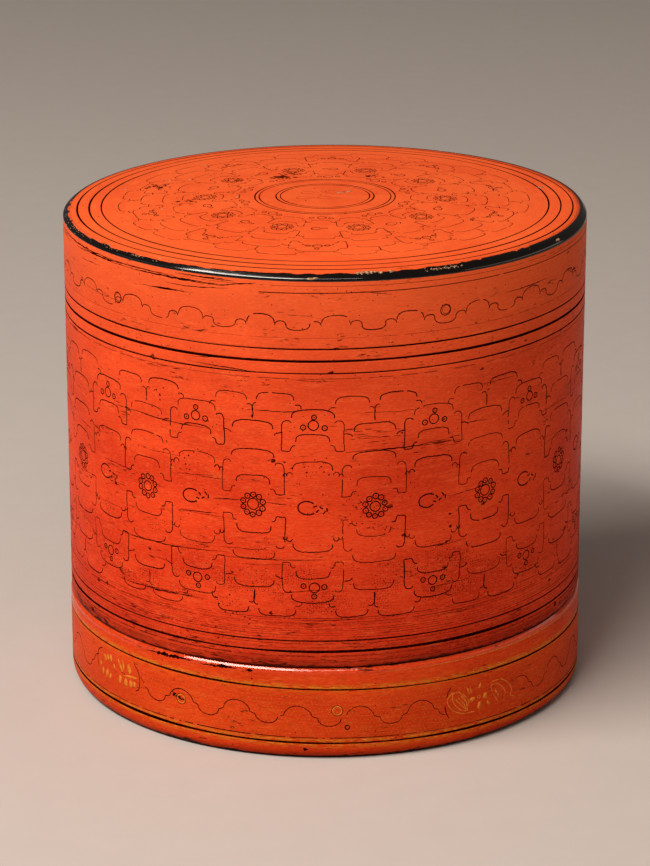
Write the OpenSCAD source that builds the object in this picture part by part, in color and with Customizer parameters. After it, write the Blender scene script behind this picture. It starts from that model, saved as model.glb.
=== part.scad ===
// Round lacquered betel box: a deep lid slides down over a tall inner box and rests on the
// plinth at its foot. Two shallow trays stack in the mouth of the inner box, under the lid.
// Every wall is a wound bamboo hoop and every flat is a coiled bamboo disc. Hoops and discs are
// separate pieces that seat on each other. All sizes are in millimetres, +Z is up, and the
// origin is on the surface that the box stands on, in the middle of the foot.

/* [Lid] */
// Outer diameter of the lid
lid_d = 218; // [160:1:280]
// Height of the lid, from its mouth to the crown of its top
lid_h = 167.5; // [140:0.5:220]
// Thickness of the lid's wall
lid_wall_t = 4; // [3:0.1:6]
// Thickness of the coiled disc that closes the lid, and height of the hoop round it
lid_disc_t = 3.5; // [2.5:0.1:6]
// How far the middle of the disc rises over its edge
dome_rise = 3; // [1:0.1:8]
// How far the disc laps onto the top of the wall
disc_seat = 1; // [0.5:0.1:1.5]
// Rounding of the black hoop's outer edge, as a share of its section
rim_round_share = 0.93; // [0.3:0.01:1]
// Height of the hoop that stiffens the lid's mouth
mouth_hoop_h = 7; // [4:0.1:14]
// Rounding of the mouth's outer edge
mouth_round = 1.6; // [0.5:0.1:2.2]

/* [Plinth] */
// Height of the plinth, whose top carries the lid
plinth_h = 40; // [30:0.5:60]
// How far the plinth stands out past the lid
plinth_proud = 0.4; // [0:0.1:3]
// Height of the hoop that the box stands on
foot_hoop_h = 7.5; // [5:0.1:10]
// Radial width of the foot hoop
foot_hoop_w = 14; // [9:0.5:24]
// Rounding of the foot's outer edge
foot_round = 3.3; // [1:0.1:4.4]
// Height of the rounded hoop at the top of the plinth
shoulder_hoop_h = 9.3; // [6:0.1:14]
// Rounding of the shoulder's outer edge
shoulder_round = 2.8; // [1:0.1:3.3]

/* [Inner box] */
// Thickness of the inner box's wall
box_wall_t = 3.5; // [2.5:0.1:5]
// Thickness of the coiled disc that floors the inner box
box_floor_t = 4.5; // [3:0.1:8]
// Height of the hoop round the inner box's mouth
box_rim_h = 4; // [2:0.1:8]

/* [Trays] */
// Height that each tray adds to the stack
tray_h = 28; // [24:0.5:36]
// How far a tray reaches down into what it sits on
spigot_depth = 12; // [8:0.5:15]
// Thickness of the hoop that forms a tray's spigot
spigot_wall_t = 3.5; // [2.5:0.1:5]
// How far the spigot hoop laps up inside the tray's band
spigot_lap = 6; // [4:0.5:8]
// Thickness of a tray's coiled floor disc
tray_floor_t = 3; // [2:0.1:5]
// Height of the hoop round a tray's mouth
tray_rim_h = 3.5; // [2:0.1:6]
// Rounding of the edges of each inner mouth
inner_mouth_round = 0.9; // [0.3:0.1:1.1]

/* [Fits] */
// Radial clearance between the lid and what it slides over
cover_gap = 0.5; // [0.3:0.05:1.2]
// Radial clearance round a tray's spigot
spigot_gap = 0.5; // [0.3:0.05:1.2]
// Gap between the upper tray and the edge of the lid's disc
headroom = 1.5; // [0.5:0.1:5]

/* [Turned lines] */
// Depth of the lines cut on the lathe
line_depth = 0.3; // [0.1:0.05:0.5]
// Width of a fine line
fine_w = 0.6; // [0.3:0.05:1]
// Width of a bold line
bold_w = 1.1; // [0.6:0.05:1.6]
// Spacing of lines that run side by side
line_pitch = 5; // [3:0.1:7]
// Distance of the highest wall line below the rim hoop
collar_line_drop = 4.5; // [2:0.1:8]
// Distance of the bold wall line below the rim hoop
band_line_drop = 32.2; // [18:0.1:50]
// Distance of the lowest wall line above the mouth hoop
skirt_line_rise = 4.6; // [2:0.1:10]
// Distance of the outermost line on the top from the disc's edge
disc_line_inset = 3; // [2:0.1:8]
// Radius of the inner pair of rings in the middle of the top
eye_inner_r = 19.5; // [8:0.1:22]
// Radius of the outer pair of rings in the middle of the top
eye_outer_r = 28.3; // [26:0.1:40]
// Distance between the two rings of a pair
eye_pair_gap = 1.8; // [1.2:0.1:3]

/* [Hidden] */

// Colours of the lacquer
engraved_red = "#d8401f";
plain_red = "#b93a1e";
glossy_black = "#17110f";

// Radii, from the lid inwards
lid_r = lid_d / 2;
lid_bore_r = lid_r - lid_wall_t;
disc_r = lid_bore_r + disc_seat;
plinth_r = lid_r + plinth_proud;
foot_bore_r = plinth_r - foot_hoop_w;
box_r = lid_bore_r - cover_gap;
box_bore_r = box_r - box_wall_t;
spigot_r = box_bore_r - spigot_gap;
spigot_bore_r = spigot_r - spigot_wall_t;

// Heights, from the foot upwards
band_top_z = plinth_h - shoulder_hoop_h;
box_floor_top_z = foot_hoop_h + box_floor_t;
mouth_hoop_top_z = plinth_h + mouth_hoop_h;
disc_edge_z = plinth_h + lid_h - dome_rise;
lid_wall_top_z = disc_edge_z - lid_disc_t;
upper_tray_top_z = lid_wall_top_z - headroom;
upper_seat_z = upper_tray_top_z - tray_h;
lower_seat_z = upper_seat_z - tray_h;

// Smoothness of the turned pieces, and of the wide shallow arc of the dome
$fn = 180;
dome_fn = 1440;
// Length by which a cutter passes through a face
past = 1;

// Radius of the sphere that a dome of this edge radius is cut from
function sphere_r(edge_r) = (edge_r * edge_r + dome_rise * dome_rise) / (2 * dome_rise);

// Height of the lid's outer dome over its edge, at radius r
function dome_at(r) =
    sqrt(pow(sphere_r(disc_r), 2) - r * r) - sphere_r(disc_r) + dome_rise;

// Cross-section of a plain hoop, or of a disc where bore_r is 0
module hoop_section(bore_r, outer_r, z0, z1) {
    translate([bore_r, z0]) square([outer_r - bore_r, z1 - z0]);
}

// Cross-section of a dome that rises from the radius edge_r at the height edge_z
module dome_section(edge_r, edge_z) {
    intersection() {
        translate([0, edge_z + dome_rise - sphere_r(edge_r)])
            circle(r = sphere_r(edge_r), $fn = dome_fn);
        hoop_section(0, edge_r, edge_z, edge_z + dome_rise + past);
    }
}

// What rounding takes off a corner at the origin. side_x and side_z are 1 or -1, and say on
// which side of the corner the material lies.
module corner_waste(round, side_x, side_z) {
    mirror([side_x < 0 ? 1 : 0, 0]) mirror([0, side_z < 0 ? 1 : 0]) difference() {
        translate([-past, -past]) square(round + past);
        translate([round, round]) circle(r = round);
        translate([round, -2 * past]) square(round + 3 * past);
        translate([-2 * past, round]) square(round + 3 * past);
    }
}

// V-shaped cutter of a line of width w. The surface is at x = 0, with the material below it.
module line_section(w) {
    half = w / 2 * (1 + past / line_depth);
    polygon([[-line_depth, 0], [past, half], [past, -half]]);
}

// Line cut into a wall of radius r at the height z
module wall_line(r, z, w) {
    translate([r, z]) line_section(w);
}

// Line cut into the lid's dome at radius r
module dome_line(r) {
    translate([r, disc_edge_z + dome_at(r)]) rotate(90) line_section(fine_w);
}

// Lid

module lid_mouth_hoop() {
    color(engraved_red) rotate_extrude() difference() {
        hoop_section(lid_bore_r, lid_r, plinth_h, mouth_hoop_top_z);
        translate([lid_r, plinth_h]) corner_waste(mouth_round, -1, 1);
        wall_line(lid_r, mouth_hoop_top_z, bold_w);
    }
}

module lid_wall() {
    bold_z = lid_wall_top_z - band_line_drop;
    color(engraved_red) rotate_extrude() difference() {
        hoop_section(lid_bore_r, lid_r, mouth_hoop_top_z, lid_wall_top_z);
        wall_line(lid_r, mouth_hoop_top_z, bold_w);
        wall_line(lid_r, mouth_hoop_top_z + skirt_line_rise, fine_w);
        wall_line(lid_r, bold_z, bold_w);
        for (side = [-1, 1]) wall_line(lid_r, bold_z + side * line_pitch, fine_w);
        wall_line(lid_r, lid_wall_top_z - collar_line_drop, fine_w);
    }
}

module lid_rim_hoop() {
    round = rim_round_share * min(lid_r - disc_r, lid_disc_t);
    color(glossy_black) rotate_extrude() difference() {
        hoop_section(disc_r, lid_r, lid_wall_top_z, disc_edge_z);
        translate([lid_r, disc_edge_z]) corner_waste(round, -1, -1);
    }
}

// The disc is domed above and below, with a flat seat where it rests on the wall
module lid_top_disc() {
    color(engraved_red) rotate_extrude() difference() {
        union() {
            hoop_section(0, disc_r, lid_wall_top_z, disc_edge_z);
            dome_section(disc_r, disc_edge_z);
        }
        dome_section(lid_bore_r, lid_wall_top_z);
        for (i = [0:2]) dome_line(disc_r - disc_line_inset - i * line_pitch);
        for (r = [eye_inner_r, eye_outer_r], side = [-1, 1]) dome_line(r + side * eye_pair_gap / 2);
    }
}

// Base: three hoops make the plinth round the foot of the inner box

module base_foot_hoop() {
    color(engraved_red) rotate_extrude() difference() {
        hoop_section(foot_bore_r, plinth_r, 0, foot_hoop_h);
        translate([plinth_r, 0]) corner_waste(foot_round, -1, 1);
        wall_line(plinth_r, foot_hoop_h, bold_w);
    }
}

module base_plinth_band() {
    color(engraved_red) rotate_extrude() difference() {
        hoop_section(box_r, plinth_r, foot_hoop_h, band_top_z);
        wall_line(plinth_r, foot_hoop_h, bold_w);
        wall_line(plinth_r, band_top_z, bold_w);
    }
}

module base_shoulder_hoop() {
    color(engraved_red) rotate_extrude() difference() {
        hoop_section(box_r, plinth_r, band_top_z, plinth_h);
        translate([plinth_r, plinth_h]) corner_waste(shoulder_round, -1, -1);
        wall_line(plinth_r, band_top_z, bold_w);
    }
}

module box_floor_disc() {
    color(glossy_black) rotate_extrude()
        hoop_section(0, box_r, foot_hoop_h, box_floor_top_z);
}

module box_wall() {
    color(plain_red) rotate_extrude()
        hoop_section(box_bore_r, box_r, box_floor_top_z, lower_seat_z - box_rim_h);
}

// Hoop that finishes a mouth of the stack, with eased edges
module stack_mouth_hoop(top_z, height) {
    color(glossy_black) rotate_extrude() difference() {
        hoop_section(box_bore_r, box_r, top_z - height, top_z);
        translate([box_bore_r, top_z]) corner_waste(inner_mouth_round, 1, -1);
        translate([box_r, top_z]) corner_waste(inner_mouth_round, -1, -1);
    }
}

module box_mouth_hoop() {
    stack_mouth_hoop(lower_seat_z, box_rim_h);
}

// Trays: a band as wide as the inner box, and a spigot that drops into the mouth below. seat_z
// is the height at which the band rests on that mouth.

module tray_floor_disc(seat_z) {
    color(plain_red) rotate_extrude()
        hoop_section(0, spigot_r, seat_z - spigot_depth, seat_z - spigot_depth + tray_floor_t);
}

// Below the seat the hoop is slimmer, so that it clears the mouth it drops into
module tray_spigot_hoop(seat_z) {
    foot_z = seat_z - spigot_depth + tray_floor_t;
    color(plain_red) rotate_extrude() union() {
        hoop_section(spigot_bore_r, spigot_r, foot_z, seat_z + spigot_lap);
        hoop_section(spigot_bore_r, box_bore_r, seat_z, seat_z + spigot_lap);
    }
}

module tray_band(seat_z) {
    color(plain_red) rotate_extrude()
        hoop_section(box_bore_r, box_r, seat_z, seat_z + tray_h - tray_rim_h);
}

module tray_rim_hoop(seat_z) {
    stack_mouth_hoop(seat_z + tray_h, tray_rim_h);
}

base_foot_hoop();
base_plinth_band();
base_shoulder_hoop();
box_floor_disc();
box_wall();
box_mouth_hoop();
tray_floor_disc(lower_seat_z);  // lower_tray_floor_disc
tray_spigot_hoop(lower_seat_z);  // lower_tray_spigot_hoop
tray_band(lower_seat_z);  // lower_tray_band
tray_rim_hoop(lower_seat_z);  // lower_tray_rim_hoop
tray_floor_disc(upper_seat_z);  // upper_tray_floor_disc
tray_spigot_hoop(upper_seat_z);  // upper_tray_spigot_hoop
tray_band(upper_seat_z);  // upper_tray_band
tray_rim_hoop(upper_seat_z);  // upper_tray_rim_hoop
lid_mouth_hoop();
lid_wall();
lid_rim_hoop();
lid_top_disc();
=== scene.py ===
# Betel box in engraved red lacquer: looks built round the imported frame
import bpy
import math
import numpy as np
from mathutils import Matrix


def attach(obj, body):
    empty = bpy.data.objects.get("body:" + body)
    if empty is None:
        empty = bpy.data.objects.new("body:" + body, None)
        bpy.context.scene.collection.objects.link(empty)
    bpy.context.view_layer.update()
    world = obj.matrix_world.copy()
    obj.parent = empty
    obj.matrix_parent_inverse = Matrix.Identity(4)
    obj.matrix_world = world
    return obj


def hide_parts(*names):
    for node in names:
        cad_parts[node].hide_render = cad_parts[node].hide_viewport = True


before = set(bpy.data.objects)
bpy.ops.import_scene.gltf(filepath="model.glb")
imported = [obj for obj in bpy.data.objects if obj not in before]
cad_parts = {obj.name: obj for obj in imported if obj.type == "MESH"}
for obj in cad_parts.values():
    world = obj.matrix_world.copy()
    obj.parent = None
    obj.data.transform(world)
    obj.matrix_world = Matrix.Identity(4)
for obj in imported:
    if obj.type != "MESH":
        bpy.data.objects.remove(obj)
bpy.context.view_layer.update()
mm = 0.001
fullTurn = 2 * math.pi
engravedSlot = "engraved_red_lacquer"
plainSlot = "plain_red_lacquer"
blackSlot = "black_lacquer"
print("frame loaded:", len(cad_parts), "nodes")


# Helpers for colour, nodes and meshes

def linear(hexCode):
    # sRGB hex to linear light, channel by channel
    channels = [int(hexCode[i:i + 2], 16) / 255 for i in (1, 3, 5)]
    return [c / 12.92 if c <= 0.04045 else ((c + 0.055) / 1.055) ** 2.4 for c in channels] + [1.0]


def addNode(tree, kind, inputs=None, **settings):
    # one node, its settings, and its inputs as values or as links from other sockets
    node = tree.nodes.new("ShaderNode" + kind)
    for key, value in settings.items():
        setattr(node, key, value)
    for key, value in (inputs or {}).items():
        if isinstance(value, bpy.types.NodeSocket):
            tree.links.new(value, node.inputs[key])
        else:
            node.inputs[key].default_value = value
    return node


def calc(tree, operation, *values):
    # one arithmetic step on single values
    return addNode(tree, "Math", dict(enumerate(values)), operation=operation).outputs[0]


def vectorCalc(tree, operation, *values, output="Vector"):
    # one arithmetic step on vectors
    return addNode(tree, "VectorMath", dict(enumerate(values)), operation=operation).outputs[output]


def onPiece(tree):
    # where a point lies, in the piece's own frame
    return addNode(tree, "TexCoord").outputs["Object"]


def fineNoise(tree, scale):
    # even noise, the same in every direction
    noise = addNode(tree, "TexNoise", {"Vector": onPiece(tree), "Scale": scale, "Detail": 3.0})
    return noise.outputs["Fac"]


def newMaterial(name):
    # an empty material and its node tree
    material = bpy.data.materials.new(name)
    material.use_nodes = True
    material.node_tree.nodes.clear()
    return material, material.node_tree


def finishMaterial(material, colour, roughness, shine, bump=None):
    # one surface shader over all that was mixed
    tree = material.node_tree
    inputs = {"Base Color": colour, "Roughness": roughness, "Specular IOR Level": shine}
    if bump:
        inputs["Normal"] = bump
    shader = addNode(tree, "BsdfPrincipled", inputs)
    addNode(tree, "OutputMaterial", {"Surface": shader.outputs[0]})
    return material


def addObject(name, data):
    # puts a mesh, lamp or camera into the scene
    holder = bpy.data.objects.new(name, data)
    bpy.context.scene.collection.objects.link(holder)
    return holder


def putPiece(name, shape, coat, stands=()):
    # shape is points in mm with a list of index arrays that hold quads or triangles;
    # coat is the material, the body that carries the piece, and the slot, which is not used
    points, faces = shape
    material, body, slot = coat
    mesh = bpy.data.meshes.new(name)
    placed = leaned(points, handMade["lean"][body]) if body in handMade["lean"] else points
    placed = sagged(placed) if body == "lid" else placed
    mesh.from_pydata((placed * mm).tolist(), [], [f for group in faces for f in group.tolist()])
    mesh.polygons.foreach_set("use_smooth", np.ones(len(mesh.polygons), bool))
    mesh.materials.append(material)
    mesh.update()
    piece = addObject(name, mesh)
    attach(piece, body)
    if stands:
        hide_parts(*stands)


def nodeSpan(node):
    # bore radius, outer radius, low and high z of a CAD node, in mm
    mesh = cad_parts[node].data
    co = np.empty(len(mesh.vertices) * 3)
    mesh.vertices.foreach_get("co", co)
    co = co.reshape(-1, 3) / mm
    radius = np.hypot(co[:, 0], co[:, 1])
    return radius.min(), radius.max(), co[:, 2].min(), co[:, 2].max()


# Driving sizes, read from the frame

lidBore, lidR, lidWallLow, lidWallHigh = nodeSpan("lid_wall")
_, discR, _, crownZ = nodeSpan("lid_top_disc")
_, _, _, discEdgeZ = nodeSpan("lid_rim_hoop")
boxR, plinthR, bandLow, bandHigh = nodeSpan("base_plinth_band")
domeRise = crownZ - discEdgeZ

lidLean, bandLean, shoulderLean = 1.15, -1.2, 1.0   # mm that lines rise at the right side
handMade = {
    "relief": 0.07,     # mm left free under the true surface for lines that stand up
    "sway": 0.22,       # mm that a wall may fall inside its true circle
    "dent": 0.25,       # mm that the top may sink under its true dome
    "sag": 0.5,         # share of the rim's height lost at its lowest side
    "sagAngle": math.radians(-130),
    # mm that lines and edges rise at the right side and fall at the left, at each height
    "lean": {"lid": [(lidWallLow - 7, lidLean), (lidWallHigh - 6, lidLean), (lidWallHigh - 0.5, 0)],
             "base": [(1.5, 0), (bandLow, -1.0), (bandHigh, bandLean), (bandHigh + 7.8, shoulderLean),
                      (bandHigh + 9.3, lidLean)]},
    "segments": 360,    # facets round the box
    "step": 5.0,        # mm between rings of a wall
}


def sway(theta, z):
    # slow bulges of a wall that was wound by hand, never outside the true circle
    wave = 0.5 * np.sin(2 * theta + 0.7) + 0.3 * np.sin(3 * theta - z / 60)
    wave = wave + 0.2 * np.sin(7 * theta + z / 25)
    return -handMade["relief"] - handMade["sway"] * (0.5 + 0.5 * wave)


def domeHeight(x, y):
    # parabola that matches the shallow dome, less a few soft dents
    r2 = (x * x + y * y) / discR ** 2
    theta = np.arctan2(x, -y)
    dents = 0.5 + 0.5 * np.sin(2 * theta + 0.4) * np.cos(r2 * 5)
    dome = domeRise * (1 - r2) - handMade["dent"] * dents * np.sqrt(r2) * (1 - r2) * 2
    return discEdgeZ - handMade["relief"] + dome


def raised(points, rise):
    # each point lifted by its own rise
    return points + np.stack([0 * rise, 0 * rise, rise], 1)


def sagged(points):
    # thins what stands over the lid's wall, most at one side of the rim and not at all in the middle
    theta = np.arctan2(points[:, 0], -points[:, 1])
    side = (0.5 + 0.5 * np.cos(theta - handMade["sagAngle"])) ** 1.3
    share = handMade["sag"] * side * (points[:, 0] ** 2 + points[:, 1] ** 2) / lidR ** 2
    return raised(points, -np.maximum(points[:, 2] - lidWallHigh, 0) * share)


def leaned(points, heights):
    # tips the outer skin to one side: z shifts with the sine of the angle, and not at all on the inner box
    radius = np.hypot(points[:, 0], points[:, 1])
    share = np.clip((radius - boxR) / 3, 0, 1) * points[:, 0] / np.maximum(radius, 1)
    at, shift = np.array(heights).T
    return raised(points, np.interp(points[:, 2], at, shift) * share)


def wallPlace(radius):
    # arc length u and height v on a wall, with h outwards, to x, y, z
    def place(u, v, h):
        theta = u / radius
        r = radius + sway(theta, v) + h
        return np.stack([r * np.sin(theta), -r * np.cos(theta), v], -1)
    return place


def topPlace(u, v, h):
    # x and y on the domed top, with h upwards
    return np.stack([u, v, domeHeight(u, v) + h], -1)


# Turned shapes

def roundedLoop(corners, arcSteps=5):
    # corners (r, z, rounding), anticlockwise; each corner becomes an arc that touches both its sides
    pts = np.array([c[:2] for c in corners], float)
    out = []
    for i, (_, _, rounding) in enumerate(corners):
        p = pts[i]
        if rounding <= 0:
            out.append(p[None])
            continue
        a = pts[i - 1] - p
        b = pts[(i + 1) % len(pts)] - p
        a /= np.linalg.norm(a)
        b /= np.linalg.norm(b)
        half = math.acos(np.clip(a @ b, -1, 1)) / 2
        centre = p + (a + b) / np.linalg.norm(a + b) * rounding / math.sin(half)
        start = p + a * rounding / math.tan(half) - centre
        end = p + b * rounding / math.tan(half) - centre
        t = np.linspace(0, 1, arcSteps + 1)[:, None]
        swing = math.pi - 2 * half
        arc = (np.sin((1 - t) * swing) * start + np.sin(t * swing) * end) / math.sin(swing)
        out.append(centre + arc)
    return np.concatenate(out)


def densify(loop, step, closed=True):
    # extra points so that no side is longer than step
    ends = np.roll(loop, -1, 0) if closed else loop[1:]
    out = []
    for a, b in zip(loop, ends):
        n = max(1, math.ceil(np.linalg.norm(b - a) / step))
        out.append(a + (b - a) * (np.arange(n) / n)[:, None])
    if not closed:
        out.append(loop[-1:])
    return np.concatenate(out)


def groove(radius, z, width, depth=0.3, ease=0.35):
    # V cut into a wall, with a support ring at each side that keeps the wall's shading straight
    return [(radius, z - width / 2 - ease, 0), (radius, z - width / 2, 0), (radius - depth, z, 0),
            (radius, z + width / 2, 0), (radius, z + width / 2 + ease, 0)]


def gridQuads(rows, columns, rowLoop=True, columnLoop=True):
    # faces between neighbours of a grid of points, which may close on itself either way
    i, j = np.meshgrid(np.arange(rows - 1 + rowLoop), np.arange(columns - 1 + columnLoop), indexing="ij")
    ip, jp = (i + 1) % rows * columns, (j + 1) % columns
    i = i * columns
    return np.stack([i + j, ip + j, ip + jp, i + jp], -1).reshape(-1, 4)


def turnedRing(profile, swayed):
    # closed profile turned about z: ring after ring of quads, joined both ways round
    n, m = handMade["segments"], len(profile)
    theta = np.arange(n)[:, None] * fullTurn / n
    r, z = profile[:, 0], profile[:, 1]
    shift = sway(theta, z[None]) * ((r - r.min()) / np.ptp(r)) if swayed else 0
    radius = r[None] + shift
    points = np.stack([radius * np.sin(theta), -radius * np.cos(theta), z[None] + 0 * theta], -1)
    return points.reshape(-1, 3), [gridQuads(n, m)]


def turnedDisc(profile, height=None):
    # open profile from the axis below to the axis above, turned about z, with a pole at each end
    n, m = handMade["segments"], len(profile) - 2
    theta = np.arange(n)[:, None] * fullTurn / n
    r, z = profile[1:-1, 0][None], profile[1:-1, 1][None]
    points = np.stack([r * np.sin(theta), -r * np.cos(theta), z + 0 * theta], -1)
    poles = np.array([[0, 0, profile[0, 1]], [0, 0, profile[-1, 1]]])
    points = np.concatenate([points.reshape(-1, 3), poles])
    if height is not None:
        points = height(points)
    k = np.arange(n)
    kp = (k + 1) % n
    low = np.stack([kp * m, k * m, 0 * k + n * m], -1)
    high = np.stack([k * m + m - 1, kp * m + m - 1, 0 * k + n * m + 1], -1)
    return points, [gridQuads(n, m, columnLoop=False), low, high]


def hoopProfile(node, outerLow, outerHigh, innerEase=0.3, grooves=()):
    # section of a hoop, with rounded outer edges and turned lines
    bore, outer, low, high = nodeSpan(node)
    corners = [(bore, low, innerEase), (outer, low, outerLow)]
    for z, width in sorted(grooves):
        corners += groove(outer, z, width)
    corners += [(outer, high, outerHigh), (bore, high, innerEase)]
    return densify(roundedLoop(corners), handMade["step"])


def slopedProfile(node, across, down, ease, innerEase):
    # section of a hoop whose upper outer edge is planed to a slope and eased at both its ends
    bore, outer, low, high = nodeSpan(node)
    corners = [(bore, low, innerEase), (outer, low, 0.1), (outer, high - down, ease),
               (outer - across, high, ease), (bore, high, innerEase)]
    return densify(roundedLoop(corners, 8), handMade["step"])


def discProfile(node, edge):
    # section of a disc from the axis below to the axis above
    _, outer, low, high = nodeSpan(node)
    corners = [(0, low, 0), (outer, low, edge), (outer, high, edge), (0, high, 0)]
    return densify(roundedLoop(corners), handMade["step"], closed=False)


def putHoop(name, node, coat, *edges, swayed=True, grooves=()):
    # a hoop's section, turned, that stands for a CAD node
    putPiece(name, turnedRing(hoopProfile(node, *edges, grooves=grooves), swayed), coat, [node])


# Drawn strokes

def resample(path, spacing):
    # points at even spacing along a path
    along = np.concatenate([[0], np.cumsum(np.linalg.norm(np.diff(path, axis=0), axis=1))])
    s = np.linspace(0, along[-1], max(2, int(round(along[-1] / spacing)) + 1))
    return np.stack([np.interp(s, along, path[:, 0]), np.interp(s, along, path[:, 1])], 1)


def arch(centre, halfWidth, top, rise, flat=0.62, steps=24):
    # half a superellipse: cos and sin of the sweep raised to a power that flattens the crown
    t = np.linspace(math.pi, 0, steps)
    c, s = np.cos(t), np.sin(t)
    x = centre + halfWidth * np.sign(c) * np.abs(c) ** flat
    return np.stack([x, top - rise + rise * np.abs(s) ** flat], 1)


def bend(x0, z0, x1, z1, steps=7):
    # quarter of an ellipse: leaves (x0, z0) upright and comes to (x1, z1) level
    t = np.linspace(0, math.pi / 2, steps)
    return np.stack([x1 + (x0 - x1) * np.cos(t), z0 + (z1 - z0) * np.sin(t)], 1)


def curve(places, steps=10):
    # smooth line through a few places: each span is a cubic whose slopes follow its neighbours
    p = np.array(places, float)
    slope = np.gradient(p, axis=0)
    t = np.linspace(0, 1, steps, endpoint=False)[:, None]
    spans = [(2 * t ** 3 - 3 * t ** 2 + 1) * a + (t ** 3 - 2 * t ** 2 + t) * sa
             + (3 * t ** 2 - 2 * t ** 3) * b + (t ** 3 - t ** 2) * sb
             for a, b, sa, sb in zip(p[:-1], p[1:], slope[:-1], slope[1:])]
    return np.concatenate(spans + [p[-1:]])


def ring(cx, cz, radius, steps=14):
    # circle of a pair of compasses
    t = np.linspace(0, fullTurn, steps, endpoint=False)
    return np.stack([cx + radius * np.cos(t), cz + radius * np.sin(t)], 1)


def compass(cx, cz, radius, steps, half):
    # a closed stroke round a circle
    return ring(cx, cz, radius, steps), half, True


def bothSides(path):
    # a path and its mirror image about x = 0
    return [path, path * [-1, 1]]


def wander(path, rng, amount, wave=14.0):
    # slow sideways drift of the hand
    s = np.arange(len(path)) * fullTurn / wave
    a, b = rng.uniform(0, fullTurn, 2)
    return path + amount * np.stack([np.sin(s + a), np.cos(0.8 * s + b)], 1)


def skipping(path, half, rng, chance):
    # the strokes left of a path where the graver skips, by chance, at some of its points
    keep = rng.random(len(path)) > chance
    keep[:2] = True
    keep[-2:] = True
    starts = np.flatnonzero(np.diff(np.concatenate([[0], keep.astype(int)])) == 1)
    ends = np.flatnonzero(np.diff(np.concatenate([keep.astype(int), [0]])) == -1)
    half = np.broadcast_to(half, len(path))
    return [(path[a:b + 1], half[a:b + 1], False) for a, b in zip(starts, ends) if b > a]


def roundLine(radius, z, width, rng, skip, count=720):
    # a line turned right round a wall: two sines swell its width, and a third lets it waver
    u = np.linspace(-math.pi, math.pi, count, endpoint=False) * radius
    phase = rng.uniform(0, fullTurn, 3)
    swell = 1 + 0.25 * np.sin(u / 31 + phase[0]) + 0.15 * np.sin(u / 11 + phase[1])
    path = np.stack([u, z + 0.12 * np.sin(u / 60 + phase[2])], 1)
    return skipping(path, width / 2 * swell, rng, skip)


def ribbon(strokes, place, crest=0.03, keel=0.12):
    # each stroke is (path, half width, closed): a four-sided bead carried along its path,
    # with its edges at the surface, its crest just over it and its keel under it
    points, sides, caps = [], [], []
    count = 0
    for path, half, closed in strokes:
        n = len(path)
        if closed:
            ahead = np.roll(path, -1, 0) - np.roll(path, 1, 0)
        else:
            ahead = np.gradient(path, axis=0)
        ahead /= np.maximum(np.linalg.norm(ahead, axis=1, keepdims=True), 1e-9)
        left = np.stack([-ahead[:, 1], ahead[:, 0]], 1) * np.reshape(half, (-1, 1))
        u, v = [np.stack([p + side, p, p - side, p], 1) for p, side in zip(path.T, left.T)]
        h = np.broadcast_to(np.array([-0.02, crest, -0.02, -keel]), u.shape)
        points.append(place(u, v, h).reshape(-1, 3))
        sides.append(gridQuads(n, 4, closed)[:, [0, 3, 2, 1]] + count)
        if not closed:
            last = (n - 1) * 4
            caps.append(np.array([[3, 2, 1, 0], [last, last + 1, last + 2, last + 3]]) + count)
        count += 4 * n
    return np.concatenate(points), [np.concatenate(sides + caps)]


def dots(centres, radius, place, sides=6, stretch=(1, 1), crest=0.04, keel=0.1):
    # two flat cones base to base for each spot; radius is one value, one per spot, or one per corner
    t = np.arange(sides) * fullTurn / sides
    centres = np.asarray(centres, float)
    n = len(centres)
    size = np.asarray(radius, float)
    size = np.broadcast_to(size if size.ndim == 2 else size.reshape(-1, 1), (n, sides))
    u = centres[:, :1] + stretch[0] * size * np.cos(t)
    v = centres[:, 1:] + stretch[1] * size * np.sin(t)
    rim = place(u, v, np.full(u.shape, -0.01))
    apex = place(centres[:, :1], centres[:, 1:], np.full((n, 1), crest))
    base = place(centres[:, :1], centres[:, 1:], np.full((n, 1), -keel))
    points = np.concatenate([rim, apex, base], 1).reshape(-1, 3)
    k = np.arange(sides)
    kp = (k + 1) % sides
    up = np.stack([k, kp, 0 * k + sides], 1)
    down = np.stack([kp, k, 0 * k + sides + 1], 1)
    one = np.concatenate([up, down])
    faces = (one[None] + (np.arange(n) * (sides + 2))[:, None, None]).reshape(-1, 3)
    return points, [faces]


def tornSpots(spots, rng, place, sides=14, rough=0.45, **form):
    # spots (u, v, size) whose corners each lie nearer or farther by up to the rough share
    spots = np.array(spots)
    sizes = spots[:, 2:] * (1 + rough * rng.uniform(-1, 1, (len(spots), sides)))
    return dots(spots[:, :2], sizes, place, sides, **form)


def anyArc(rng, count=None):
    # arcs anywhere round the lid
    return rng.uniform(-math.pi, math.pi, count) * lidR


def strewn(rng, count, heights, sizes):
    # spots anywhere round the lid, as arc, z and size
    return [(anyArc(rng), rng.uniform(*heights), rng.uniform(*sizes)) for _ in range(count)]


# Materials

def ranged(tree, value, low, high, start=0.0, end=1.0, easing="LINEAR"):
    # low to high becomes start to end, and is held beyond them
    inputs = {"Value": value, 1: low, 2: high, 3: start, 4: end}
    return addNode(tree, "MapRange", inputs, interpolation_type=easing).outputs[0]


def stepped(tree, value, low, high):
    # 0 under low, 1 over high
    return ranged(tree, value, low, high, easing="SMOOTHSTEP")


def mixed(tree, amount, a, b):
    # colour a with amount of colour b over it
    return addNode(tree, "Mix", {0: amount, 6: a, 7: b}, data_type="RGBA").outputs[2]


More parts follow.
